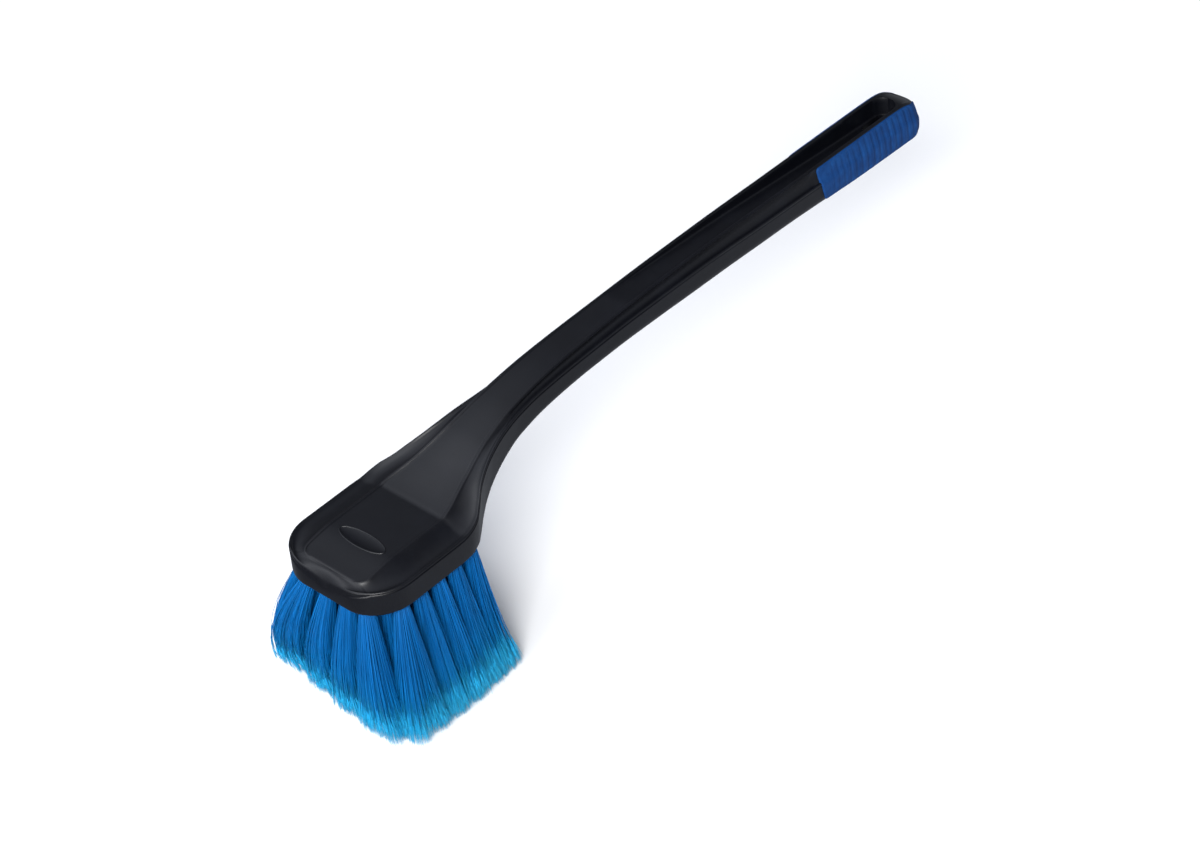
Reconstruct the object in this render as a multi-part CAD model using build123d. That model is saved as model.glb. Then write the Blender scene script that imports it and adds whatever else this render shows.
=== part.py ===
"""Long-handled wheel brush: one moulded block and handle, two soft grips, stapled bristle tufts.

Frame: +X from the head towards the handle's end, +Z up, bristles down. The origin is on the plane of the
bristle tips, under the middle of the brush. Millimetres.
"""
from build123d import *
import math
import os

# ---- driving dimensions -------------------------------------------------------------------------
BLOCK_HALF_WIDTH = 41.0
BLOCK_THICKNESS = 15.6
FRONT_CORNER_LENGTH = 26.0
FRONT_BAND_END = 31.0
FRONT_FLAT_HALF_WIDTH = 17.0
FRONT_FACE_X = -2.0
ENVELOPE_MARGIN = 0.4
HANDLE_END = 504.0
TRIM_LENGTH = 78.0

LIP_HEIGHT = 1.0
LIP_WIDTH = 1.3
LIP_GROOVE_DEPTH = 0.8
LIP_GROOVE_HEIGHT = 1.3
BEAD_HEIGHT = 0.6
BEAD_WIDTH = 1.5

BADGE_X = 29.5
BADGE_HALF_LENGTH = 17.0
BADGE_HALF_WIDTH = 5.6
BADGE_RIM = 0.8

CHANNEL_HALF_WIDTH = 7.0
CHANNEL_START = 236.0
CHANNEL_FLOOR_END = 470.0
CHANNEL_END = 487.0
HANG_SLOT_START = 463.0
HANG_SLOT_END = 486.5
HANG_SLOT_HALF_WIDTH = 6.5
CHANNEL_DEPTH_AT_END = 12.5
CHANNEL_LEAD_IN = 1.0

GRIP_START = 407.0
GRIP_END = 500.0
GRIP_THICKNESS = 1.6
GRIP_TOP_MARGIN = 1.0
GRIP_BOTTOM_MARGIN = 3.0
GRIP_CORNER = 6.0
GRIP_INNER_EDGE = 10.3

TUFT_ROWS = 6
TUFT_COLUMNS = 6
TUFT_FIRST_ROW_X = 8.5
TUFT_ROW_PITCH = 13.4
TUFT_COLUMN_PITCH = 13.2
TUFT_HOLE_RADIUS = 3.1
TUFT_HOLE_DEPTH = 11.0
TUFT_FIT = 0.05
FAN_ROOT_X = 42.0
FAN_TIP_X = 38.0
FAN_X = 1.19
FAN_Y = 1.515
TUFT_TIP_GAP = 0.4
ANCHOR_LENGTH = 8.2
ANCHOR_HEIGHT = 2.4
ANCHOR_THICKNESS = 0.5

# Stations along the brush, measured from 2 mm behind the block's front face: (x, value)
RIDGE_HEIGHT = [(-4, 16.4), (3, 17.0), (26, 20.3), (66, 20.3), (90, 28.0), (115, 38.0), (140, 45.2),
                (170, 49.6), (200, 51.4), (230, 52.4), (275, 53.0), (320, 52.7), (380, 51.2), (440, 50.0),
                (470, 49.3), (478, 48.9), (484, 47.9), (488, 46.6), (492, 44.5), (496, 41.8), (500, 38.8),
                (504, 35.6), (508, 33.5)]
RIDGE_HALF_WIDTH = [(-4, 23.5), (66, 23.8), (90, 18.5), (115, 13.5), (140, 11.2), (170, 10.2), (200, 9.6),
                    (230, 9.1), (300, 9.0), (400, 9.3), (508, 9.3)]
WIDEST_HEIGHT = [(-4, 15.6), (66, 15.6), (72, 16.6), (78, 18.6), (86, 22.6), (94, 28.0), (104, 32.8),
                 (114, 36.4), (124, 39.0), (140, 41.2), (170, 43.2), (200, 44.0), (235, 44.8), (290, 44.2),
                 (320, 43.1), (350, 41.4), (380, 40.2), (410, 39.0), (440, 38.6), (480, 37.6), (490, 35.8),
                 (498, 32.6), (504, 29.6), (508, 28.0)]
HALF_WIDTH = [(-4, 41.0), (60, 41.0), (72, 40.2), (79, 38.4), (85, 34.6), (94, 28.6), (104, 24.0),
              (114, 20.8), (124, 18.4), (140, 15.6), (160, 13.9), (200, 13.1), (300, 13.0), (400, 13.2),
              (440, 13.6), (508, 14.0)]
UNDERSIDE_TUCK = [(-4, 0.0), (68, 0.0), (82, 1.5), (104, 1.5), (124, 1.0), (160, 0.2), (200, 0.0), (508, 0.0)]
UNDERSIDE = [(-4, 0.0), (82, 0.0), (90, 1.5), (102, 8.0), (115, 14.2), (128, 19.0), (140, 22.3), (170, 26.6),
             (200, 28.3), (230, 28.8), (260, 28.2), (290, 27.2), (320, 26.4), (350, 25.2), (380, 24.1),
             (410, 22.3), (440, 20.7), (508, 18.7)]
UNDERSIDE_ROUND = [(-4, 1.2), (80, 1.2), (100, 3.5), (140, 6.5), (200, 7.0), (490, 7.5), (508, 8.0)]
FLUTE_DEPTH = [(-4, 1.6), (76, 1.6), (92, 0.7), (112, 0.9), (150, 1.2), (200, 1.8), (396, 2.0), (407, 0.0),
               (508, -0.6)]
BODY_STATIONS = [-4, 12, 26, 34, 50, 60, 66, 72, 79, 85, 90, 94, 99, 104, 114, 124, 140, 155, 170, 200, 230,
                 260, 290, 320, 350, 380, 390, 396, 402, 408, 424, 440, 465, 478, 484, 488, 492, 496, 500,
                 504, 508]

TIP_HALF_LENGTH = TUFT_ROW_PITCH * FAN_X / 2 - TUFT_TIP_GAP
TIP_HALF_WIDTH = TUFT_COLUMN_PITCH * FAN_Y / 2 - TUFT_TIP_GAP
FRONT_TIP_X = FAN_TIP_X + (TUFT_FIRST_ROW_X - FAN_ROOT_X) * FAN_X - TIP_HALF_LENGTH
TO_ORIGIN = Location((-(FRONT_TIP_X + HANDLE_END) / 2, 0, TRIM_LENGTH))


def along(stations, x):
    """Value at x on a smooth monotone curve through the stations."""
    last = len(stations) - 2
    i = min(max(sum(1 for s in stations if s[0] <= x) - 1, 0), last)

    def slope(k):
        (x0, v0), (x1, v1) = stations[k], stations[k + 1]
        return (v1 - v0) / (x1 - x0)

    def tangent(k):
        if k == 0 or k == last + 1:
            return slope(min(k, last))
        before, after = slope(k - 1), slope(k)
        return 0.0 if before * after <= 0 else 2 * before * after / (before + after)

    (x0, v0), (x1, v1) = stations[i], stations[i + 1]
    step = x1 - x0
    t = (x - x0) / step
    return (v0 * (1 + 2 * t) * (1 - t) ** 2 + v1 * t * t * (3 - 2 * t)
            + step * t * (1 - t) * (tangent(i) * (1 - t) - tangent(i + 1) * t))


def half_section(x, inset=0.0):
    """Points (y, z) of half a cross-section, from the underside's middle to the top's middle."""
    a = along(HALF_WIDTH, x) - inset
    under = along(UNDERSIDE, x) + inset
    widest = along(WIDEST_HEIGHT, x)
    top = along(RIDGE_HEIGHT, x) - inset
    ridge = along(RIDGE_HALF_WIDTH, x) - 0.4 * inset
    corner = along(UNDERSIDE_ROUND, x)
    flute = along(FLUTE_DEPTH, x)
    tuck = along(UNDERSIDE_TUCK, x)
    points = [(0.0, under)]
    for degrees in (0, 22, 45, 68, 90):
        turn = math.radians(degrees)
        points.append((a - tuck - corner + corner * math.sin(turn), under + corner - corner * math.cos(turn)))
    points += [(a, widest - 0.2 - LIP_GROOVE_HEIGHT),
               (a - LIP_GROOVE_DEPTH * along([(0, 1), (200, 1), (300, 0.2), (508, 0.2)], x),
                widest - 0.2 - LIP_GROOVE_HEIGHT / 2),
               (a, widest - 0.2)]
    lip = (a - LIP_WIDTH * 0.4, widest + LIP_HEIGHT * 0.8)
    shoulder = (ridge + 1.4, top - 0.9)
    points.append(lip)
    across, rise = shoulder[0] - lip[0], shoulder[1] - lip[1]
    length = math.hypot(across, rise)
    for share, depth in ((0.22, 0.9), (0.45, 1.0), (0.72, 0.7)):
        points.append((lip[0] + share * across + depth * flute * -rise / length,
                       lip[1] + share * rise + depth * flute * across / length))
    points += [shoulder, (ridge + 0.4, top - 0.1), (ridge - 0.5, top), (ridge - BEAD_WIDTH, top - BEAD_HEIGHT),
               (0.0, top - BEAD_HEIGHT)]
    return points


def skin(stations, inset=0.0):
    """Solid through the cross-sections at the stations."""
    wires = []
    for x in stations:
        half = half_section(x, inset)
        loop = half + [(-y, z) for y, z in reversed(half[1:-1])]
        wires.append(Wire.make_polygon([Vector(x, y, z) for y, z in loop], close=True))
    return Solid.make_loft(wires)


def corner_depth(y, half_width, length):
    """How far behind the front face the rounded outline is at y."""
    reach = max(0.0, abs(y) - FRONT_FLAT_HALF_WIDTH) / (half_width - FRONT_FLAT_HALF_WIDTH)
    return length * (1 - math.sqrt(max(0.0, 1 - min(reach, 1.0) ** 2.2)))


def front_outline(inset, rear):
    """Plan of the block's front part, from its rounded front to x = rear."""
    half_width = BLOCK_HALF_WIDTH - inset
    steps = 14
    side = []
    for i in range(steps + 1):
        share = math.sin(math.pi / 2 * i / steps)
        y = FRONT_FLAT_HALF_WIDTH + (half_width - FRONT_FLAT_HALF_WIDTH) * share
        side.append((FRONT_FACE_X + inset + corner_depth(y, half_width, FRONT_CORNER_LENGTH - inset), y))
    with BuildSketch() as plan:
        with BuildLine():
            Spline(*[(x, -y) for x, y in side])
            Line((FRONT_FACE_X + inset, -FRONT_FLAT_HALF_WIDTH), (FRONT_FACE_X + inset, FRONT_FLAT_HALF_WIDTH))
            Spline(*side)
            Polyline((side[-1][0], half_width), (rear, half_width), (rear, -half_width),
                     (side[-1][0], -half_width))
        make_face()
    return plan.sketch


def plan_envelope():
    """Everything inside the brush's plan outline: the rounded front and the rounded handle end."""
    front = Pos(ENVELOPE_MARGIN, 0, 0) * extrude(front_outline(-ENVELOPE_MARGIN, 60.0), 80)
    middle = Pos(270, 0, 40) * Box(424, 120, 80)
    end_half_width = along(HALF_WIDTH, HANDLE_END)
    end = Pos(HANDLE_END - end_half_width, 0, 0) * extrude(
        Ellipse(end_half_width, end_half_width + 0.6), 80)
    return front + middle + end


def front_ring(outer_inset, inner_inset, low, high):
    """A band that follows the rounded front between two insets of the outline."""
    outer = extrude(front_outline(outer_inset, FRONT_BAND_END), high - low)
    inner = extrude(front_outline(inner_inset, FRONT_BAND_END + 1), high - low)
    return Pos(0, 0, low) * (outer - inner)


def badge_rim():
    """Plain raised oval on the panel's front edge."""
    ring = Ellipse(BADGE_HALF_WIDTH, BADGE_HALF_LENGTH) - Ellipse(
        BADGE_HALF_WIDTH - BADGE_RIM, BADGE_HALF_LENGTH - BADGE_RIM)
    return Pos(BADGE_X, 0, 15) * extrude(ring, along(RIDGE_HEIGHT, BADGE_X) - BEAD_HEIGHT + 0.45 - 15)


def badge_recess():
    """Shallow dished oval inside the rim."""
    dish = Ellipse(BADGE_HALF_WIDTH - BADGE_RIM, BADGE_HALF_LENGTH - BADGE_RIM)
    return Pos(BADGE_X, 0, along(RIDGE_HEIGHT, BADGE_X) - BEAD_HEIGHT - 0.9) * extrude(dish, 10)


def channel():
    """Ramped trough between the handle's two top ridges, and the through hang slot at its deep end."""
    start_top = along(RIDGE_HEIGHT, CHANNEL_START) - BEAD_HEIGHT + 0.05
    mid = (CHANNEL_START + CHANNEL_FLOOR_END) / 2
    mid_floor = along(RIDGE_HEIGHT, mid) - 0.5 * CHANNEL_DEPTH_AT_END
    end_floor = along(RIDGE_HEIGHT, CHANNEL_FLOOR_END) - CHANNEL_DEPTH_AT_END
    with BuildSketch(Plane.XZ) as side:
        with BuildLine():
            Polyline((CHANNEL_START, start_top), (CHANNEL_START + 12, start_top - CHANNEL_LEAD_IN),
                     (mid, mid_floor), (CHANNEL_FLOOR_END, end_floor), (CHANNEL_END + 1, end_floor - 0.6),
                     (CHANNEL_END + 1, 70), (CHANNEL_START, 70), close=True)
        make_face()
    trough = extrude(side.sketch, CHANNEL_HALF_WIDTH + 2, both=True)
    plan = Pos((CHANNEL_START + CHANNEL_END) / 2, 0, -5) * extrude(
        SlotOverall(CHANNEL_END - CHANNEL_START, 2 * CHANNEL_HALF_WIDTH), 80)
    slot = Pos((HANG_SLOT_START + HANG_SLOT_END) / 2, 0, -5) * extrude(
        SlotOverall(HANG_SLOT_END - HANG_SLOT_START, 2 * HANG_SLOT_HALF_WIDTH), 48)
    return [trough & plan, slot]


def grip_window(side):
    """Side view of one grip pad, swept out through one flank of the handle."""
    outline = [(GRIP_START, along(UNDERSIDE, GRIP_START) + GRIP_BOTTOM_MARGIN),
               (GRIP_END, along(UNDERSIDE, GRIP_END) + GRIP_BOTTOM_MARGIN)]
    for x in (GRIP_END, 496, 492, 488, 484, 478, 440, GRIP_START):
        outline.append((x, along(RIDGE_HEIGHT, x) - GRIP_TOP_MARGIN))
    with BuildSketch(Plane.XZ) as view:
        with BuildLine():
            Polyline(*outline, close=True)
        make_face()
        fillet([v for v in view.vertices() if v.X < GRIP_START + 1], GRIP_CORNER)
    return Pos(0, side * GRIP_INNER_EDGE, 0) * extrude(view.sketch, -20 * side)


def tuft_spots():
    """Hole centres, row by row from the front: {(row, column): (x, y)}."""
    spots = {}
    for row in range(TUFT_ROWS):
        for column in range(TUFT_COLUMNS):
            front_corner = row == 0 and column in (0, TUFT_COLUMNS - 1)
            if not front_corner:
                spots[row, column] = (TUFT_FIRST_ROW_X + row * TUFT_ROW_PITCH,
                                      (column - (TUFT_COLUMNS - 1) / 2) * TUFT_COLUMN_PITCH)
    return spots


def tuft_hole(x, y):
    return Pos(x, y, 0) * extrude(Circle(TUFT_HOLE_RADIUS), TUFT_HOLE_DEPTH)


def anchor(x, y):
    """Flat staple across the bottom of a tuft hole, bedded in the plastic at both ends."""
    return Pos(x, y, TUFT_HOLE_DEPTH - ANCHOR_HEIGHT / 2) * Box(
        ANCHOR_THICKNESS, ANCHOR_LENGTH, ANCHOR_HEIGHT)


def tuft(x, y):
    """Bundle of bristle: round in its hole, fanned out to an oval at the trimmed tips."""
    radius = TUFT_HOLE_RADIUS - TUFT_FIT
    tip_x = FAN_TIP_X + (x - FAN_ROOT_X) * FAN_X
    tip_y = y * FAN_Y
    root = Pos(x, y, 0) * Circle(radius)
    tip = Pos(tip_x, tip_y, -TRIM_LENGTH) * Ellipse(TIP_HALF_LENGTH, TIP_HALF_WIDTH)
    fan = loft([root.face(), tip.face()])
    shank = Pos(x, y, 0) * extrude(Circle(radius), TUFT_HOLE_DEPTH - TUFT_FIT)
    return fan + shank - anchor(x, y)


def brush_body(blank, grips):
    """The one-piece moulding, with every recess cut."""
    body = blank - front_ring(-2.0, LIP_GROOVE_DEPTH, BLOCK_THICKNESS - 0.2 - LIP_GROOVE_HEIGHT,
                              BLOCK_THICKNESS - 0.2)
    body -= front_ring(LIP_WIDTH, 4.0, BLOCK_THICKNESS - 0.1, BLOCK_THICKNESS + 20)
    body += badge_rim()
    cutters = [badge_recess(), *channel(), *grips]
    for x, y in tuft_spots().values():
        cutters += [tuft_hole(x, y), anchor(x, y)]
    return body - cutters


def grip_pads(blank):
    """Soft pads let into the two flanks of the handle's end."""
    core_end = HANDLE_END - GRIP_THICKNESS
    core_start = GRIP_START - 10
    core = skin([x for x in BODY_STATIONS if x >= 400], GRIP_THICKNESS)
    core &= Pos((core_start + core_end) / 2, 0, 40) * Box(core_end - core_start, 60, 100)
    return [(blank & grip_window(side)) - core for side in (-1, 1)]


def write(name, shape):
    placed = TO_ORIGIN * shape
    export_step(placed, f"parts/{name}.step")


os.makedirs("parts", exist_ok=True)
blank = skin(BODY_STATIONS) & plan_envelope()
right_grip, left_grip = grip_pads(blank)
write("grip_right", right_grip)
write("grip_left", left_grip)
write("handle_body", brush_body(blank, [right_grip, left_grip]))
rows = {}
for (row, column), (x, y) in tuft_spots().items():
    write(f"tuft_{row + 1}_{column + 1}", tuft(x, y))
    rows.setdefault(row, []).append(anchor(x, y))
for row, anchors in rows.items():
    write(f"anchors_row_{row + 1}", Compound(children=anchors))
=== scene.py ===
import math

import bmesh
import bpy
import numpy as np
from mathutils import Matrix, Vector


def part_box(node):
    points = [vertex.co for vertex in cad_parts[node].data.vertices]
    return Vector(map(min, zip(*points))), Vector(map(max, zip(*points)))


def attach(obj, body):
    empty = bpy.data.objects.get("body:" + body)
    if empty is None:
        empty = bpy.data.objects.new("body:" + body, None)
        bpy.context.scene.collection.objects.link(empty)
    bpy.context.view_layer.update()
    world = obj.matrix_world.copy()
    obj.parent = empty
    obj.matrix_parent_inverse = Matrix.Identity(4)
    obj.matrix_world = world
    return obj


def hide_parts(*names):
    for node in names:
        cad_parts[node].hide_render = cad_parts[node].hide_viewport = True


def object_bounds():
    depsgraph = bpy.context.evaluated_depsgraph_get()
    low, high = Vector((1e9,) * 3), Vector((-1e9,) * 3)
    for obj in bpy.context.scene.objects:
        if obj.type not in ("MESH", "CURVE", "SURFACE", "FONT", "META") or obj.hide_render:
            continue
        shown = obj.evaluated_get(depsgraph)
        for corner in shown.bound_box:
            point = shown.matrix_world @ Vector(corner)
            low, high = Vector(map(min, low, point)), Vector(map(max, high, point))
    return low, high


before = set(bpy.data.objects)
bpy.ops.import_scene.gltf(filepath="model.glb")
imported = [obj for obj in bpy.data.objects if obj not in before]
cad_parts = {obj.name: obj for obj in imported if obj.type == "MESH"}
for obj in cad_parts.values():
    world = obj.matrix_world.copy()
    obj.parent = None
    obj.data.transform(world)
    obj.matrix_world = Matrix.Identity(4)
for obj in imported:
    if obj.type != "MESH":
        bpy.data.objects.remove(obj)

cad_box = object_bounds()
MM = 0.001
BODY = "root"
SEED = 7

# ---- where the brush lies in the frame: the block's front face and its flat underside ------------
body_low, body_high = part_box("handle_body")
FRONT_FACE = -2.0
FRONT_X = body_low[0] - FRONT_FACE * MM
BLOCK_Z = body_low[2]
HANDLE_END = (body_high[0] - FRONT_X) / MM

# ---- shape of the moulding, in millimetres behind the front face and above the block's underside --
FRONT_FLAT = 17.0
FRONT_CORNER = 26.0
CORNER_POWER = 1.95
FULL_HALF_WIDTH = 41.0
LIP_GROOVE = 1.3
GROOVE_DEPTH = 0.85
BEAD = 0.6
PANEL_FRONT = 4.2
PANEL_CORNER = 7.5
# the panel's corner at 45 degrees, the outline place that belongs with it, and where the two run level
CORNER_X = PANEL_FRONT + PANEL_CORNER * (1 - math.sqrt(0.5))
OUTER_CORNER_X = 3.5
CORNER_MATCH = 34.0
END_CENTRE = HANDLE_END - 14.0
END_RIDGE = 9.3
CHANNEL_END = HANDLE_END - 17.0
CHANNEL_ROUND = 7.4

RIDGE_HEIGHT = [(-4, 16.4), (3, 17.0), (24, 20.1), (28, 20.3), (66, 20.3), (69.5, 21.2), (90, 28.0),
                (115, 38.0), (140, 45.2), (170, 49.6), (200, 51.4), (230, 52.4), (275, 53.0), (320, 52.7),
                (380, 51.2), (440, 50.0), (470, 49.3), (478, 49.0), (484, 48.5), (488, 47.8), (492, 46.5),
                (496, 44.6), (500, 42.0), (504, 38.6), (508, 36.0)]
RIDGE_HALF_WIDTH = [(-4, 23.5), (66, 23.8), (90, 18.5), (115, 13.5), (140, 11.2), (170, 10.2), (200, 9.6),
                    (230, 9.1), (300, 9.0), (400, 9.3), (508, 9.3)]
WIDEST_HEIGHT = [(-4, 15.6), (66, 15.6), (72, 16.6), (78, 18.6), (86, 22.6), (94, 28.0), (104, 32.8),
                 (114, 36.4), (124, 39.0), (140, 41.2), (170, 43.2), (200, 44.0), (235, 44.8), (290, 44.2),
                 (320, 43.1), (350, 41.4), (380, 40.2), (410, 39.0), (440, 38.6), (480, 37.6), (490, 35.8),
                 (498, 32.6), (504, 29.6), (508, 28.0)]
HALF_WIDTH = [(-4, 41.0), (60, 41.0), (72, 40.2), (79, 38.4), (85, 34.6), (94, 28.6), (104, 24.0),
              (114, 20.8), (124, 18.4), (140, 15.6), (160, 13.9), (200, 13.1), (300, 13.0), (400, 13.2),
              (440, 13.6), (508, 14.0)]
UNDERSIDE_TUCK = [(-4, 0.0), (68, 0.0), (82, 1.5), (104, 1.5), (124, 1.0), (160, 0.2), (200, 0.0), (508, 0.0)]
UNDERSIDE = [(-4, 0.0), (82, 0.0), (90, 1.5), (102, 8.0), (115, 14.2), (128, 19.0), (140, 22.3), (170, 26.6),
             (200, 28.3), (230, 28.8), (260, 28.2), (290, 27.2), (320, 26.4), (350, 25.2), (380, 24.1),
             (410, 22.3), (440, 20.7), (508, 18.7)]
UNDERSIDE_ROUND = [(-4, 1.4), (80, 1.4), (100, 3.5), (140, 6.5), (200, 7.0), (490, 7.5), (508, 8.0)]
FLUTE_DEPTH = [(-4, 1.9), (76, 1.9), (92, 0.8), (112, 1.0), (150, 1.3), (200, 1.9), (397, 2.0), (404, 0.1),
               (410, -0.5), (508, -0.6)]
GROOVE_FADE = [(-4, 1.0), (220, 1.0), (330, 0.25), (508, 0.2)]
CHANNEL_DEPTH = [(-4, BEAD), (236, BEAD), (250, 1.6), (353, 6.4), (470, 12.5), (508, 13.2)]
CROWN = [(-4, 0.0), (68, 0.0), (100, 0.9), (180, 0.6), (236, 0.0), (508, 0.0)]
ROW_STEPS = [(12, 0.9), (64, 1.6), (72, 0.7), (130, 1.3), (240, 2.2), (396, 3.0), (416, 0.9), (468, 2.0),
             (480, 1.0), (END_CENTRE, 0.5), (END_CENTRE + 6.5, 0.8)]
COLUMNS = 18
# points up the rim's profile: round the underside's edge, then across the lip groove and the shoulder
UNDERSIDE_POINTS = 9
GROOVE_POINTS = 9
SHOULDER_STEPS = 14
# rows over which the curved front and end rows straighten
FRONT_FADE_ROWS = 12
SOLE_FADE_ROWS = 25
END_FADE_ROWS = 7
# half width over which the front edge rolls over, and the height its roll starts at
FRONT_SOFT = 31.0
ROLL_FOOT = 3.5
HANDLE_SHARP = 38
HANDLE_WELD = 0.00002
FINE_WELD = 0.000001

# ---- tuft holes and hang slot --------------------------------------------------------------------
HOLE_RADIUS = 3.1
HOLE_DEPTH = 11.0
SLOT_START = 463.0
SLOT_HALF_WIDTH = 6.5

# ---- badge ---------------------------------------------------------------------------------------
BADGE_X = 29.0
BADGE_HALF = (5.3, 16.8)
BADGE_DISH = (5.6, 18.4, 1.2)
BADGE_SECTION = [(-0.62, -0.6), (-0.5, 0.1), (-0.25, 0.34), (0.05, 0.4), (0.32, 0.26), (0.5, -0.05),
                 (0.6, -0.6)]
BADGE_SHARP = 60


def along(stations, x):
    """Value at x on a smooth monotone curve through the stations."""
    last = len(stations) - 2
    i = min(max(sum(1 for s in stations if s[0] <= x) - 1, 0), last)

    def slope(k):
        (x0, v0), (x1, v1) = stations[k], stations[k + 1]
        return (v1 - v0) / (x1 - x0)

    def tangent(k):
        if k == 0 or k == last + 1:
            return slope(min(k, last))
        before, after = slope(k - 1), slope(k)
        return 0.0 if before * after <= 0 else 2 * before * after / (before + after)

    (x0, v0), (x1, v1) = stations[i], stations[i + 1]
    step = x1 - x0
    t = (x - x0) / step
    return (v0 * (1 + 2 * t) * (1 - t) ** 2 + v1 * t * t * (3 - 2 * t)
            + step * t * (1 - t) * (tangent(i) * (1 - t) - tangent(i + 1) * t))


def smooth(t):
    """Soft step from 0 to 1."""
    t = min(max(t, 0.0), 1.0)
    return t * t * (3 - 2 * t)


# ---- plan curves of the moulding -----------------------------------------------------------------
def outline_depth(y):
    """How far behind the front face the plan outline is at y."""
    reach = max(0.0, abs(y) - FRONT_FLAT) / (FULL_HALF_WIDTH - FRONT_FLAT)
    return FRONT_FACE + FRONT_CORNER * (1 - math.sqrt(max(0.0, 1 - min(reach, 1.0) ** CORNER_POWER)))


def outline_half_width(x):
    """Half width of the plan outline at x."""
    if x >= FRONT_CORNER + FRONT_FACE:
        return along(HALF_WIDTH, x)
    reach = (1 - (1 - (x - FRONT_FACE) / FRONT_CORNER) ** 2) ** (1 / CORNER_POWER)
    return FRONT_FLAT + (FULL_HALF_WIDTH - FRONT_FLAT) * reach


def side_rows():
    """Stations of the side rows, closer together where the shape turns quickly."""
    rows, x = [], CORNER_X + 0.35
    for limit, step in ROW_STEPS:
        while x < limit - step * 0.3:
            rows.append(x)
            x += step
    return rows


def ridge_point(x):
    """Plan position of the top ridge on a side row."""
    if x < PANEL_FRONT + PANEL_CORNER:
        back = PANEL_FRONT + PANEL_CORNER - x
        return x, along(RIDGE_HALF_WIDTH, x) - PANEL_CORNER + math.sqrt(PANEL_CORNER ** 2 - back ** 2)
    if x > END_CENTRE:
        return x, math.sqrt(END_RIDGE ** 2 - (x - END_CENTRE) ** 2)
    return x, along(RIDGE_HALF_WIDTH, x)


def outer_point(x):
    """Plan position of the outline that belongs with the ridge point on a side row."""
    if x < CORNER_MATCH:
        share = (x - CORNER_X) / (CORNER_MATCH - CORNER_X)
        x = OUTER_CORNER_X + (CORNER_MATCH - OUTER_CORNER_X) * share
        return x, outline_half_width(x)
    if x > END_CENTRE:
        turn = math.asin((x - END_CENTRE) / END_RIDGE)
        radius = along(HALF_WIDTH, x)
        return END_CENTRE + (HANDLE_END - END_CENTRE) * math.sin(turn), radius * math.cos(turn)
    return x, along(HALF_WIDTH, x)


def top_profile(x, ridge):
    """(y, z) from the ridge to the middle of the top, with the bead or the grip channel between."""
    top = along(RIDGE_HEIGHT, x)
    depth = along(CHANNEL_DEPTH, x)
    inner = ridge - 1.25
    near_end = x - (CHANNEL_END - CHANNEL_ROUND)
    if near_end > 0:
        inner = min(inner, CHANNEL_ROUND * math.sqrt(max(0.03, 1 - (near_end / CHANNEL_ROUND) ** 2)))
    if x > CHANNEL_END - 0.1:
        depth, inner = 0.25, ridge - 1.6
    edge = min(depth, 0.5)
    fillet = min(0.35 * depth, 1.6, 0.6 * inner)
    wall = max(0.0, depth - fillet - 0.8 * edge)
    lean = 0.03 * depth
    points = [(ridge, 0.0), (ridge - 0.4 * (ridge - inner - 0.35), -0.02), (inner + 0.6, -0.06),
              (inner + 0.3, -0.25 * edge), (inner + 0.06, -0.8 * edge)]
    points += [(inner - lean * t, -0.8 * edge - wall * t) for t in (1 / 3, 2 / 3, 1.0)]
    for degrees in (30, 60, 90):
        turn = math.radians(degrees)
        points.append((inner - lean - fillet * (1 - math.cos(turn)),
                       -(depth - fillet) - fillet * math.sin(turn)))
    foot = points[-1][0]
    floor_columns = COLUMNS + 1 - len(points)
    for k in range(1, floor_columns + 1):
        y = foot * (1 - k / floor_columns)
        points.append((y, -depth + along(CROWN, x) * (1 - (y / foot) ** 2)))
    return [(y, top + z) for y, z in points]


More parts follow.
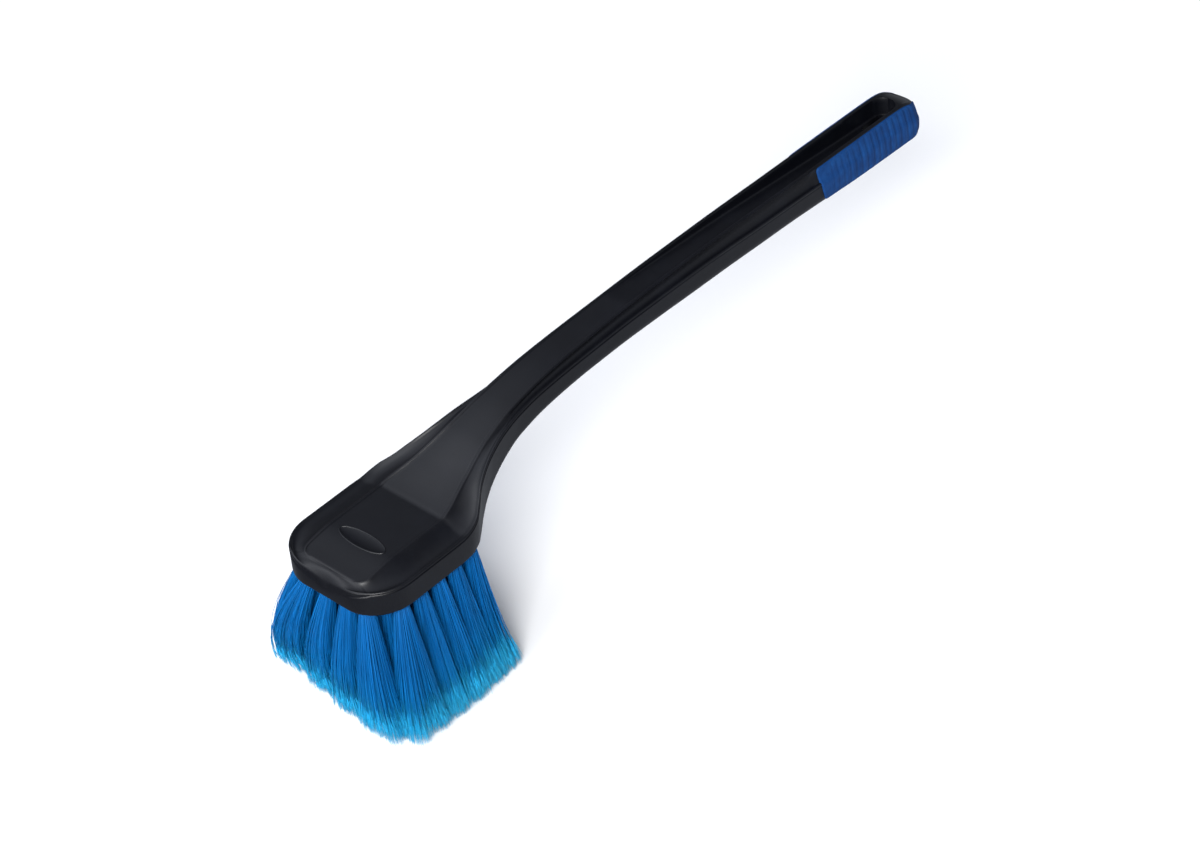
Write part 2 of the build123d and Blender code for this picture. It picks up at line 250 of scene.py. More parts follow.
def rim_profile(outer, inner, inner_z, x, soft=0.0):
    """Points from the underside's inner edge, round the side, lip and shoulder, to the ridge."""
    run = math.hypot(inner[0] - outer[0], inner[1] - outer[1])
    along_x, along_y = (inner[0] - outer[0]) / run, (inner[1] - outer[1]) / run
    under = along(UNDERSIDE, x)
    widest = along(WIDEST_HEIGHT, x)
    corner = along(UNDERSIDE_ROUND, x)
    flute = along(FLUTE_DEPTH, x)
    groove = GROOVE_DEPTH * along(GROOVE_FADE, x) * (1 - 0.9 * soft)
    tuck = along(UNDERSIDE_TUCK, x)
    low = widest - 0.2 - LIP_GROOVE
    points = []
    for k in range(UNDERSIDE_POINTS):
        turn = math.pi / 2 * k / (UNDERSIDE_POINTS - 1)
        points.append((tuck + corner * (1 - math.sin(turn)), under + corner * (1 - math.cos(turn))))
    foot = under + corner
    points += [(tuck * (1 - t), foot + (low - foot) * t) for t in (0.25, 0.5, 0.75, 0.94)]
    for k in range(GROOVE_POINTS):
        t = k / (GROOVE_POINTS - 1)
        points.append((groove * math.sin(math.pi * t) ** 0.9, low + LIP_GROOVE * t))
    points += [(0.02, widest + 0.15), (0.14, widest + 0.48), (0.42, widest + 0.72), (0.85, widest + 0.84)]
    start = (1.3, widest + 0.78 + 0.2 * soft)
    finish = (run - 1.05, inner_z - 0.62)
    reach = math.hypot(finish[0] - start[0], finish[1] - start[1])
    normal = ((finish[1] - start[1]) / reach, -(finish[0] - start[0]) / reach)
    for k in range(SHOULDER_STEPS + 1):
        t = k / SHOULDER_STEPS
        bow = (flute * (1 - soft) - 0.35 * soft) * (math.sin(math.pi * min(t ** 0.75, 1.0)) ** 0.85)
        points.append((start[0] + (finish[0] - start[0]) * t + normal[0] * bow,
                       start[1] + (finish[1] - start[1]) * t + normal[1] * bow))
    points += [(run - 0.72, inner_z - 0.33), (run - 0.36, inner_z - 0.1)]
    if soft > 0:
        rolled = points[UNDERSIDE_POINTS:]
        for k, (inset, z) in enumerate(rolled):
            turn = math.pi / 2 * (k + 1) / (len(rolled) + 1)
            roll = (run * (1 - math.cos(turn)), ROLL_FOOT + (inner_z - ROLL_FOOT) * math.sin(turn))
            points[UNDERSIDE_POINTS + k] = (inset + (roll[0] - inset) * soft, z + (roll[1] - z) * soft)
    return [(outer[0] + along_x * inset, outer[1] + along_y * inset, z) for inset, z in points]


def handle_rings():
    """Stations round half of the moulding from the front middle to the end middle, and how many of them
    are on the front and on the side. Each is (outline point, ridge point, ridge height, x, softness)."""
    rows = side_rows()
    # the front middle to the front corner
    first = top_profile(rows[0], ridge_point(rows[0])[1])
    corner_y = ridge_point(CORNER_X + 1e-6)[1]
    ridge_corner = along(RIDGE_HALF_WIDTH, 5) - PANEL_CORNER
    front = []
    for k in range(COLUMNS, 0, -1):
        share = first[k][0] / first[0][0]
        y = share * corner_y
        over = max(0.0, y - ridge_corner)
        x = PANEL_FRONT + PANEL_CORNER - math.sqrt(PANEL_CORNER ** 2 - over ** 2)
        outer_y = share * outline_half_width(OUTER_CORNER_X)
        z = along(RIDGE_HEIGHT, x) - BEAD * (1 - smooth((share - 0.8) / 0.2))
        soft = max(0.0, 1 - outer_y / FRONT_SOFT) ** 0.8
        front.append(((outline_depth(outer_y), outer_y), (x, y), z, 0.0, soft))
    corner = ((OUTER_CORNER_X, outline_half_width(OUTER_CORNER_X)), (CORNER_X, corner_y),
              along(RIDGE_HEIGHT, CORNER_X), 0.0, 0.0)
    sides = [(outer_point(x), ridge_point(x), along(RIDGE_HEIGHT, x), x, 0.0) for x in rows]
    # the end corner to the end middle
    last_x = END_CENTRE + END_RIDGE * math.sqrt(0.5)
    last = top_profile(last_x, END_RIDGE * math.sqrt(0.5))
    end = []
    for k in range(COLUMNS + 1):
        y = last[k][0]
        turn = math.asin(y / END_RIDGE)
        radius = HANDLE_END - END_CENTRE
        ridge_x = END_CENTRE + END_RIDGE * math.cos(turn)
        outer_x = END_CENTRE + radius * math.cos(turn)
        end.append(((outer_x, radius * math.sin(turn)), (ridge_x, y), along(RIDGE_HEIGHT, ridge_x),
                    outer_x, 0.0))
    ring = front + [corner] + sides + end
    return ring, len(front), len(sides)


def moulding_grids(ring, in_front, in_sides):
    """Rim grid (ring x profile), top and bottom grids (row x column) and ridge line of half the moulding."""
    rim = np.array([rim_profile(*point) for point in ring])
    ridge = np.array([(inner[0], inner[1], z) for _, inner, z, _, _ in ring])
    front_curve = ridge[:in_front + 1][::-1]
    end_curve = ridge[in_front + 1 + in_sides:]
    row_start = in_front + 1
    top = [front_curve]
    for i in range(in_sides):
        x = ring[row_start + i][3]
        ends = ridge[row_start + i]
        profile = top_profile(x, ends[1])
        from_front = (1 - smooth((i + 1) / FRONT_FADE_ROWS)) * (front_curve[:, 0] - front_curve[0, 0])
        to_end = (1 - smooth((in_sides - i) / END_FADE_ROWS)) * (end_curve[:, 0] - end_curve[0, 0])
        row = np.array([(x, y, z) for y, z in profile])
        row[:, 0] += from_front + to_end
        if x > END_CENTRE - 14:
            row[:, 2] += [along(RIDGE_HEIGHT, shifted) - along(RIDGE_HEIGHT, x) for shifted in row[:, 0]]
        top.append(row)
    top.append(end_curve)
    sole = rim[:, 0]
    bottom = [sole[:in_front + 1][::-1]]
    shares = np.linspace(1, 0, COLUMNS + 1)
    front_sole, end_sole = bottom[0], sole[row_start + in_sides:]
    for i in range(in_sides):
        edge = sole[row_start + i]
        from_front = (1 - smooth((i + 1) / SOLE_FADE_ROWS)) * (front_sole[:, 0] - front_sole[0, 0])
        to_end = (1 - smooth((in_sides - i) / END_FADE_ROWS)) * (end_sole[:, 0] - end_sole[0, 0])
        middle = ring[row_start + i][3]
        row = np.stack([edge[0] + (middle - edge[0]) * (1 - shares) ** 0.8 * (middle < CORNER_MATCH),
                        edge[1] * shares, np.full(COLUMNS + 1, edge[2])], axis=1)
        row[:, 0] += from_front + to_end
        bottom.append(row)
    bottom.append(end_sole)
    return rim, np.array(top), np.array(bottom), ridge


def to_frame(points):
    """Millimetres from the block's front corner to metres in the frame."""
    out = np.asarray(points, dtype=float) * MM
    out[..., 0] += FRONT_X
    out[..., 2] += BLOCK_Z
    return out


def new_piece(name, verts, faces, material):
    """A mesh that rides on the brush, with the one material it is given."""
    mesh = bpy.data.meshes.new(name)
    mesh.from_pydata([tuple(v) for v in verts], [], [tuple(f) for f in faces])
    mesh.materials.append(material)
    piece = bpy.data.objects.new(name, mesh)
    bpy.context.scene.collection.objects.link(piece)
    finish_mesh(piece)
    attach(piece, BODY)
    return piece


def finish_mesh(piece, smooth_angle=None):
    """Smooth shading, with sharp edges over an angle in degrees."""
    piece.data.polygons.foreach_set("use_smooth", [True] * len(piece.data.polygons))
    if smooth_angle is not None:
        piece.data.set_sharp_from_angle(angle=math.radians(smooth_angle))
    piece.data.update()


def weld(piece, distance):
    """Merge the points that lie within a distance and turn all faces outwards."""
    work = bmesh.new()
    work.from_mesh(piece.data)
    bmesh.ops.remove_doubles(work, verts=work.verts, dist=distance)
    bmesh.ops.dissolve_degenerate(work, dist=distance * 0.5, edges=work.edges)
    bmesh.ops.recalc_face_normals(work, faces=work.faces)
    work.to_mesh(piece.data)
    work.free()


def grid_faces(rows, columns, offset, flip):
    """Four-sided faces over a grid of points."""
    index = np.arange(rows * columns).reshape(rows, columns) + offset
    corners = [index[:-1, :-1], index[1:, :-1], index[1:, 1:], index[:-1, 1:]]
    quads = np.stack(corners, axis=-1).reshape(-1, 4)
    return quads[:, ::-1] if flip else quads


def cut(piece, cutters):
    """Boolean difference with closed cutters, applied to the mesh."""
    for cutter in cutters:
        modifier = piece.modifiers.new("cut", "BOOLEAN")
        modifier.operation = "DIFFERENCE"
        modifier.solver = "EXACT"
        modifier.object = cutter
    bpy.context.view_layer.update()
    graph = bpy.context.evaluated_depsgraph_get()
    result = bpy.data.meshes.new_from_object(piece.evaluated_get(graph))
    piece.modifiers.clear()
    old = piece.data
    piece.data = result
    result.name = piece.name
    bpy.data.meshes.remove(old)
    for cutter in cutters:
        mesh = cutter.data
        bpy.data.objects.remove(cutter)
        bpy.data.meshes.remove(mesh)


def prism(name, outline, low, high):
    """Closed prism over a plan outline in millimetres."""
    count = len(outline)
    verts = [(x, y, low) for x, y in outline] + [(x, y, high) for x, y in outline]
    faces = [tuple(range(count))[::-1], tuple(range(count, 2 * count))]
    faces += [(i, (i + 1) % count, count + (i + 1) % count, count + i) for i in range(count)]
    mesh = bpy.data.meshes.new(name)
    mesh.from_pydata([tuple(v) for v in to_frame(verts)], [], faces)
    cutter = bpy.data.objects.new(name, mesh)
    bpy.context.scene.collection.objects.link(cutter)
    return cutter


def slot_outline(x0, x1, radius, steps=24):
    """Plan outline with round ends."""
    points = []
    for k in range(steps + 1):
        turn = -math.pi / 2 + math.pi * k / steps
        points.append((x1 - radius + radius * math.cos(turn), radius * math.sin(turn)))
    for k in range(steps + 1):
        turn = math.pi / 2 + math.pi * k / steps
        points.append((x0 + radius + radius * math.cos(turn), radius * math.sin(turn)))
    return points


def circle_outline(x, y, radius, steps=28):
    """Plan outline of a hole."""
    turns = [2 * math.pi * k / steps for k in range(steps)]
    return [(x + radius * math.cos(turn), y + radius * math.sin(turn)) for turn in turns]


def tuft_nodes():
    """Names of the CAD's tufts, in order."""
    return sorted(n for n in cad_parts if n.startswith("tuft_"))


def tuft_frame(node):
    """Root and tip middles and the tip's half sizes of one tuft, in metres, from its CAD solid."""
    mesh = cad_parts[node].data
    co = np.empty(len(mesh.vertices) * 3)
    mesh.vertices.foreach_get("co", co)
    co = co.reshape(-1, 3)
    tip = co[co[:, 2] < co[:, 2].min() + 0.0002]
    root = co[co[:, 2] > co[:, 2].max() - 0.0002]
    return ((root.min(0) + root.max(0)) / 2, (tip.min(0) + tip.max(0)) / 2, (tip.max(0) - tip.min(0)) / 2)


def panel_height(x):
    """Height of the sunken panel at x."""
    return along(RIDGE_HEIGHT, x) - BEAD


def badge_dish():
    """Ellipsoid that scoops the badge's plain dished face out of the panel."""
    around, down = 64, 24
    verts, faces = [], []
    for j in range(down + 1):
        tilt = math.pi * j / down
        for i in range(around):
            turn = 2 * math.pi * i / around
            verts.append((BADGE_X + BADGE_DISH[0] * math.sin(tilt) * math.cos(turn),
                          BADGE_DISH[1] * math.sin(tilt) * math.sin(turn),
                          panel_height(BADGE_X) + 0.5 + BADGE_DISH[2] * math.cos(tilt)))
    for j in range(down):
        for i in range(around):
            a, b = j * around + i, j * around + (i + 1) % around
            faces.append((a, a + around, b + around, b))
    mesh = bpy.data.meshes.new("badge_dish")
    mesh.from_pydata([tuple(v) for v in to_frame(verts)], [], faces)
    cutter = bpy.data.objects.new("badge_dish", mesh)
    bpy.context.scene.collection.objects.link(cutter)
    weld(cutter, 0.000005)
    return cutter


def make_badge(material):
    """Thin raised oval rim round the dished badge, with no lettering."""
    around = 120
    verts = []
    for i in range(around):
        turn = 2 * math.pi * i / around
        x, y = BADGE_X + BADGE_HALF[0] * math.cos(turn), BADGE_HALF[1] * math.sin(turn)
        out = Vector((math.cos(turn) / BADGE_HALF[0], math.sin(turn) / BADGE_HALF[1])).normalized()
        for reach, rise in BADGE_SECTION:
            verts.append((x + out.x * reach, y + out.y * reach, panel_height(x) + rise))
    count = len(BADGE_SECTION)
    faces = []
    for i in range(around):
        for k in range(count):
            a, b = i * count + k, i * count + (k + 1) % count
            c, d = ((i + 1) % around) * count + (k + 1) % count, ((i + 1) % around) * count + k
            faces.append((a, b, c, d))
    piece = new_piece("badge_rim", to_frame(verts), faces, material)
    weld(piece, FINE_WELD)
    finish_mesh(piece, BADGE_SHARP)


def make_handle(grids, material):
    """The whole moulding in one piece, with its slot, badge dish and tuft holes cut out."""
    rim, top, bottom, ridge = grids
    verts, faces, offset = [], [], 0
    for grid, flip in ((rim, False), (top, False), (bottom, True)):
        for side in (1, -1):
            placed = to_frame(grid * np.array([1, side, 1]))
            rows, columns = grid.shape[:2]
            verts.append(placed.reshape(-1, 3))
            faces.append(grid_faces(rows, columns, offset, flip == (side == 1)))
            offset += rows * columns
    # last profile point of the rim to the ridge curve
    for side in (1, -1):
        strip = np.stack([rim[:, -1], ridge], axis=1) * np.array([1, side, 1])
        verts.append(to_frame(strip).reshape(-1, 3))
        faces.append(grid_faces(len(ridge), 2, offset, side == -1))
        offset += len(ridge) * 2
    piece = new_piece("moulding", np.concatenate(verts), np.concatenate(faces), material)
    weld(piece, HANDLE_WELD)
    high = along(RIDGE_HEIGHT, 480) + 10
    cutters = [prism("slot_cut", slot_outline(SLOT_START, CHANNEL_END - 0.6, SLOT_HALF_WIDTH), -10, high)]
    cutters.append(badge_dish())
    for node in tuft_nodes():
        root, _, _ = tuft_frame(node)
        x, y = (root[0] - FRONT_X) / MM, root[1] / MM
        cutters.append(prism(node + "_hole", circle_outline(x, y, HOLE_RADIUS), -5, HOLE_DEPTH))
    cut(piece, cutters)
    finish_mesh(piece, HANDLE_SHARP)
    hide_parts("handle_body")


# ---- camera --------------------------------------------------------------------------------------
CAMERA_AT = (-1.10262, -1.09721, 1.32809)
VIEW_AZIMUTH = 45.70
VIEW_DOWN = 39.77
VIEW_ROLL = -5.775
LENS = 104.1
SENSOR = 36.0
CLIP_END = 50


def make_camera():
    """The camera at the picture's viewing angle."""
    azimuth, down, roll = (math.radians(a) for a in (VIEW_AZIMUTH, VIEW_DOWN, VIEW_ROLL))
    forward = Vector((math.cos(azimuth) * math.cos(down), math.sin(azimuth) * math.cos(down),
                      -math.sin(down)))
    level = forward.cross(Vector((0, 0, 1))).normalized()
    above = level.cross(forward)
    right = level * math.cos(roll) + above * math.sin(roll)
    up = right.cross(forward)
    data = bpy.data.cameras.new("camera")
    data.lens = LENS
    data.sensor_width = SENSOR
    data.clip_end = CLIP_END
    camera = bpy.data.objects.new("camera", data)
    camera.matrix_world = Matrix.Translation(CAMERA_AT) @ Matrix((right, up, -forward)).transposed().to_4x4()
    bpy.context.scene.collection.objects.link(camera)
    bpy.context.scene.camera = camera


# ---- materials -----------------------------------------------------------------------------------
PLASTIC_COLOURS = [(0.3, (0.0009, 0.0012, 0.0028)), (0.55, (0.0012, 0.0016, 0.0036)),
                   (0.8, (0.0024, 0.0030, 0.0058))]
RUBBER_COLOURS = [(0.25, (0.0010, 0.028, 0.120)), (0.5, (0.0018, 0.038, 0.155)),
                  (0.8, (0.0040, 0.054, 0.200))]
STEEL_COLOURS = [(0.3, (0.42, 0.42, 0.43)), (0.7, (0.62, 0.62, 0.63))]
# from the pale flagged tips to the roots, as shares of the filament's length
BRISTLE_COLOURS = [(0.0, (0.060, 0.52, 0.78)), (0.19, (0.016, 0.38, 0.66)), (0.34, (0.0, 0.16, 0.42)),
                   (0.55, (0.0, 0.130, 0.39)), (1.0, (0.0, 0.108, 0.34))]
TONE_SHIFT = 0.11
TONE_VALUES = (0.78, 1.2)
# where the inner tufts' painted shade starts and is full, how strong it gets, and its colour
PAINTED_SHADE_PLACES = (0.4, 0.8)
PAINTED_SHADE_FULL = 0.8
PAINTED_SHADE_COLOUR = (0.002, 0.008, 0.03, 1)


def new_material(name):
    """A material with its nodes, links and main shader."""
    material = bpy.data.materials.new(name)
    material.use_nodes = True
    nodes, links = material.node_tree.nodes, material.node_tree.links
    return material, nodes, links, nodes["Principled BSDF"]


def noise(nodes, links, vector, scale, detail=3.0, rough=0.55):
    """Noise over a place, from 0 to 1."""
    node = nodes.new("ShaderNodeTexNoise")
    node.inputs["Scale"].default_value = scale
    node.inputs["Detail"].default_value = detail
    node.inputs["Roughness"].default_value = rough
    links.new(vector, node.inputs["Vector"])
    return node.outputs["Fac"]


def ramp(nodes, links, fac, stops):
    """Colours along a value, from (place, colour) stops."""
    node = nodes.new("ShaderNodeValToRGB")
    first, last = node.color_ramp.elements
    for element, (place, colour) in ((first, stops[0]), (last, stops[-1])):
        element.position, element.color = place, (*colour, 1)
    for place, colour in stops[1:-1]:
        node.color_ramp.elements.new(place).color = (*colour, 1)
    links.new(fac, node.inputs["Fac"])
    return node.outputs["Color"]


def map_range(nodes, links, value, low, high, to_low, to_high):
    """A value moved from one range to another, and held inside it."""
    node = nodes.new("ShaderNodeMapRange")
    for name, number in (("From Min", low), ("From Max", high), ("To Min", to_low), ("To Max", to_high)):
        node.inputs[name].default_value = number
    links.new(value, node.inputs["Value"])
    return node.outputs["Result"]


def bump(nodes, links, height, strength, distance, shader, before=None):
    """Fine relief on a shader, over an earlier one if there is one."""
    node = nodes.new("ShaderNodeBump")
    node.inputs["Strength"].default_value = strength
    node.inputs["Distance"].default_value = distance
    links.new(height, node.inputs["Height"])
    if before:
        links.new(before, node.inputs["Normal"])
    links.new(node.outputs["Normal"], shader.inputs["Normal"])
    return node.outputs["Normal"]


def attribute(nodes, name):
    """A value stored on the points of a mesh."""
    node = nodes.new("ShaderNodeAttribute")
    node.attribute_name = name
    return node.outputs["Fac"]


def black_plastic():
    """Satin black polypropylene: fine spark-eroded grain, faint flow mottling, lighter scuffs."""
    material, nodes, links, shader = new_material("black_polypropylene")
    place = nodes.new("ShaderNodeTexCoord").outputs["Object"]
    mottle = noise(nodes, links, place, 45, 5)
    links.new(ramp(nodes, links, mottle, PLASTIC_COLOURS), shader.inputs["Base Color"])
    grain = noise(nodes, links, place, 2400, 2)
    broad = noise(nodes, links, place, 150, 4)
    links.new(map_range(nodes, links, broad, 0.3, 0.7, 0.36, 0.42), shader.inputs["Roughness"])
    shader.inputs["Specular IOR Level"].default_value = 0.45
    first = bump(nodes, links, grain, 0.13, 0.00012, shader)
    bump(nodes, links, broad, 0.03, 0.0010, shader, first)
    return material


def grip_rubber():
    """Matt blue elastomer with a fine grain and slightly worn, lighter high spots."""
    material, nodes, links, shader = new_material("blue_soft_grip")
    place = nodes.new("ShaderNodeTexCoord").outputs["Object"]
    mottle = noise(nodes, links, place, 140, 4)
    links.new(ramp(nodes, links, mottle, RUBBER_COLOURS), shader.inputs["Base Color"])
    shader.inputs["Roughness"].default_value = 0.7
    shader.inputs["Specular IOR Level"].default_value = 0.16
    grain = noise(nodes, links, place, 1500, 3)
    bump(nodes, links, grain, 0.4, 0.0003, shader)
    return material


def bristle():
    """Blue filament: deeper at the roots, pale where the tips are flagged, each one a little different, with
    painted shade near the inner tufts' roots.
    """
    material, nodes, links, shader = new_material("blue_filament")
    coord = nodes.new("ShaderNodeTexCoord").outputs["Object"]
    tone = attribute(nodes, "tone")
    height = nodes.new("ShaderNodeMath")
    height.operation = "MULTIPLY_ADD"
    links.new(tone, height.inputs[0])
    height.inputs[1].default_value = TONE_SHIFT
    links.new(attribute(nodes, "from_tip"), height.inputs[2])
    fac = height.outputs[0]
    # painted shade: the tufts behind the outer rows are darkened towards their roots, so the gaps in front of
    # them read deep as if in shadow
    painted_shade = nodes.new("ShaderNodeMath")
    painted_shade.operation = "MULTIPLY"
    links.new(attribute(nodes, "depth"), painted_shade.inputs[0])
    links.new(map_range(nodes, links, fac, *PAINTED_SHADE_PLACES, 0.0, PAINTED_SHADE_FULL), painted_shade.inputs[1])
    # inputs 6 and 7 and output 2 are the mix node's colours
    # mixes the painted shade colour into the filament colour by the mask
    dark = nodes.new("ShaderNodeMix")
    dark.data_type = "RGBA"
    links.new(painted_shade.outputs[0], dark.inputs[0])
    links.new(ramp(nodes, links, fac, BRISTLE_COLOURS), dark.inputs[6])
    dark.inputs[7].default_value = PAINTED_SHADE_COLOUR
    hue = nodes.new("ShaderNodeHueSaturation")
    links.new(dark.outputs[2], hue.inputs["Color"])
    links.new(map_range(nodes, links, tone, 0.0, 1.0, *TONE_VALUES), hue.inputs["Value"])
    links.new(hue.outputs["Color"], shader.inputs["Base Color"])
    shader.inputs["Roughness"].default_value = 0.55
    shader.inputs["Specular IOR Level"].default_value = 0.12
    fine = noise(nodes, links, coord, 900, 2)
    bump(nodes, links, fine, 0.15, 0.0002, shader)
    return material


def steel():
    """Drawn flat staple wire."""
    material, nodes, links, shader = new_material("staple_steel")
    place = nodes.new("ShaderNodeTexCoord").outputs["Object"]
    streak = noise(nodes, links, place, 800, 3)
    links.new(ramp(nodes, links, streak, STEEL_COLOURS), shader.inputs["Base Color"])
    shader.inputs["Metallic"].default_value = 1.0
    links.new(map_range(nodes, links, streak, 0.2, 0.8, 0.3, 0.45), shader.inputs["Roughness"])
    return material


# ---- soft grips ----------------------------------------------------------------------------------
GRIP_FROM = 402.5
GRIP_PROUD = 0.95
GRIP_SUNK = 1.0
GRIP_CORNER = 2.5
GRIP_LEAN = 4.5
GRIP_EDGE = 0.9
# the rim's profile points that a pad covers, those of the lip groove that it passes over, and how far
# round the handle's end it goes
GRIP_POINTS = slice(5, 41)
GRIP_OVER_GROOVE = slice(9, 16)
GRIP_END_SHARE = 0.62
PATCH_PASSES = 30
NORMAL_PASSES = 6
RIB_PITCH = 5.4
RIB_DEPTH = 0.42
# the ribs start this far inside the edge's round and reach full depth over the second length
RIB_MARGIN = 1.2
RIB_GROWTH = 38
GRIP_STEPS = (260, 56)
GRIP_SHARP = 50


def distances(points):
    """How far along a line each of its points is."""
    return np.concatenate([[0], np.cumsum(np.linalg.norm(np.diff(points, axis=0), axis=1))])


def arc_even(grid, axis):
    """The grid respaced evenly by length along one axis."""
    if axis == 1:
        return arc_even(grid.swapaxes(0, 1), 0).swapaxes(0, 1)
    lengths = distances(grid[:, grid.shape[1] // 2])
    target = np.linspace(0, lengths[-1], GRIP_STEPS[0] if grid.shape[0] > 40 else GRIP_STEPS[1])
    out = np.empty((len(target),) + grid.shape[1:])
    for column in range(grid.shape[1]):
        for k in range(3):
            out[:, column, k] = np.interp(target, lengths, grid[:, column, k])
    return out


def make_grip(node, side, rings, rim, material):
    """One ribbed pad that stands proud of the handle's side, over the CAD's pad."""
    ring, in_front, in_sides = rings
    start = next(i for i, r in enumerate(ring) if r[3] >= GRIP_FROM)
    stop = in_front + 1 + in_sides + int(COLUMNS * GRIP_END_SHARE)
    patch = rim[start:stop, GRIP_POINTS]
    patch = np.delete(patch, GRIP_OVER_GROOVE, axis=1)
    patch = arc_even(arc_even(patch, 0), 1)
    rows, columns = patch.shape[:2]
    for _ in range(PATCH_PASSES):
        patch[:, 1:-1] = (patch[:, :-2] + patch[:, 1:-1] * 2 + patch[:, 2:]) / 4
    du = np.gradient(patch, axis=0)
    dv = np.gradient(patch, axis=1)
    normal = np.cross(du, dv)
    normal /= np.linalg.norm(normal, axis=2, keepdims=True)
    if normal[rows // 3, columns // 2, 1] < 0:
        normal = -normal
    for _ in range(NORMAL_PASSES):
        normal[1:-1] = (normal[:-2] + normal[1:-1] * 2 + normal[2:]) / 4
        normal[:, 1:-1] = (normal[:, :-2] + normal[:, 1:-1] * 2 + normal[:, 2:]) / 4
    normal /= np.linalg.norm(normal, axis=2, keepdims=True)
    length = distances(patch[:, columns // 2])
    width = distances(patch[rows // 2])
    lean = GRIP_LEAN * (1 - width / width[-1])[None, :] ** 1.5
    from_ends = np.minimum(length[:, None] - lean, (length[-1] - length)[:, None])
    from_sides = np.minimum(width, width[-1] - width)[None, :]
    inside = np.where((from_ends < GRIP_CORNER) & (from_sides < GRIP_CORNER),
                      GRIP_CORNER - np.hypot(GRIP_CORNER - from_ends, GRIP_CORNER - from_sides),
                      np.minimum(from_ends, from_sides))
    edge = np.clip(inside / GRIP_EDGE, 0, 1)
    swell = np.sqrt(np.clip(1 - (1 - edge) ** 2, 0, 1))
    lift = -GRIP_SUNK + (GRIP_SUNK + GRIP_PROUD) * swell
    rng = np.random.default_rng(SEED + side)
    wander = np.interp(length, np.linspace(0, length[-1], 24), rng.normal(0, 0.5, 24))[:, None]
    slant = 0.25 * np.sin(width / 4.2)[None, :] + 0.08 * width[None, :]
    ribs = 0.5 - 0.5 * np.cos(2 * math.pi * (length[:, None] + slant + wander) / RIB_PITCH)
    fade = np.clip((inside - GRIP_EDGE) / RIB_MARGIN, 0, 1) * np.clip(length[:, None] / RIB_GROWTH, 0.2, 1)
    lift = lift - RIB_DEPTH * (ribs ** 2.2) * fade
    lift = np.where(inside < 0, -GRIP_SUNK, lift)
    outer = patch + normal * lift[..., None]
    inner = patch - normal * (GRIP_SUNK + 0.4)
    verts = np.concatenate([outer.reshape(-1, 3), inner.reshape(-1, 3)]) * np.array([1, side, 1])
    total = rows * columns
    faces = [grid_faces(rows, columns, 0, side == -1), grid_faces(rows, columns, total, side == 1)]
    index = np.arange(total).reshape(rows, columns)
    loop = np.concatenate([index[0, :-1], index[:-1, -1], index[-1, :0:-1], index[:0:-1, 0]])
    following = np.roll(loop, -1)
    faces.append(np.stack([loop, following, following + total, loop + total], axis=1))
    piece = new_piece(node + "_pad", to_frame(verts), np.concatenate(faces), material)
    weld(piece, FINE_WELD)
    finish_mesh(piece, GRIP_SHARP)
    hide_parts(node)


# ---- bristles ------------------------------------------------------------------------------------
FILAMENTS_OUTER = 560
FILAMENTS_INNER = 280
FILAMENT_RADIUS = 0.2
SIDES = 3
PATH_STEPS = 7
# how fast a filament leaves its tuft's middle, how the middle itself bends, and where a bulge is widest
SPLAY = 0.8
AXIS_BEND = 1.06
BULGE_PLACE = 1.2
SWAY = 0.4
# the tips: how much wider than the CAD's, how square, how scattered and how uneven in height
TIP_SPREAD = 1.13
TIP_SQUARE = 0.75
TIP_SCATTER = 0.35
TIP_RAGGED = 1.35
TUFT_RAGGED = 1.1
# the split ends: their number, share of the length, scatter, and reach and thickness along them
FLAGS = 3
FLAG_SHARE = (0.09, 0.26)
FLAG_SCATTER = 0.55
FLAG_REACH = (0.0, 0.6, 1.0)
FLAG_TAPER = (0.66, 0.54, 0.14)
# the front rows' bulge, and the lean into the two missing corners
BULGE = 4.0
CORNER_REACH = 9.0
# the curled front left corner and the more upright rear right one: tip offsets and bulges
CURL_TIP = (7.0, 2.0, 8.0)
CURL_BULGE = (5.0, 3.5)
UPRIGHT_TIP = (4.0, 2.5)
UPRIGHT_BULGE = 1.5


def tubes(paths, radii):
    """Closed three-sided tubes along many paths at once: (verts, faces)."""
    count, steps = paths.shape[:2]
    ahead = np.gradient(paths, axis=1)
    ahead /= np.linalg.norm(ahead, axis=2, keepdims=True)
    across = np.cross(ahead, np.array([0.31, 0.95, 0.0]))
    across /= np.linalg.norm(across, axis=2, keepdims=True)
    other = np.cross(ahead, across)
    rings = []
    for k in range(SIDES):
        turn = 2 * math.pi * k / SIDES
        rings.append(paths + (across * math.cos(turn) + other * math.sin(turn)) * radii[..., None])
    verts = np.stack(rings, axis=2).reshape(-1, 3)
    base = (np.arange(count) * steps * SIDES)[:, None, None]
    ring = np.arange(steps - 1)[None, :, None] * SIDES
    side = np.arange(SIDES)[None, None, :]
    a = base + ring + side
    b = base + ring + (side + 1) % SIDES
    quads = np.stack([a, b, b + SIDES, a + SIDES], axis=-1).reshape(-1, 4)
    first = (np.arange(count) * steps * SIDES)[:, None] + np.arange(SIDES)[None, ::-1]
    last = (np.arange(count) * steps * SIDES)[:, None] + (steps - 1) * SIDES + np.arange(SIDES)[None, :]
    return verts, quads, np.concatenate([first, last])


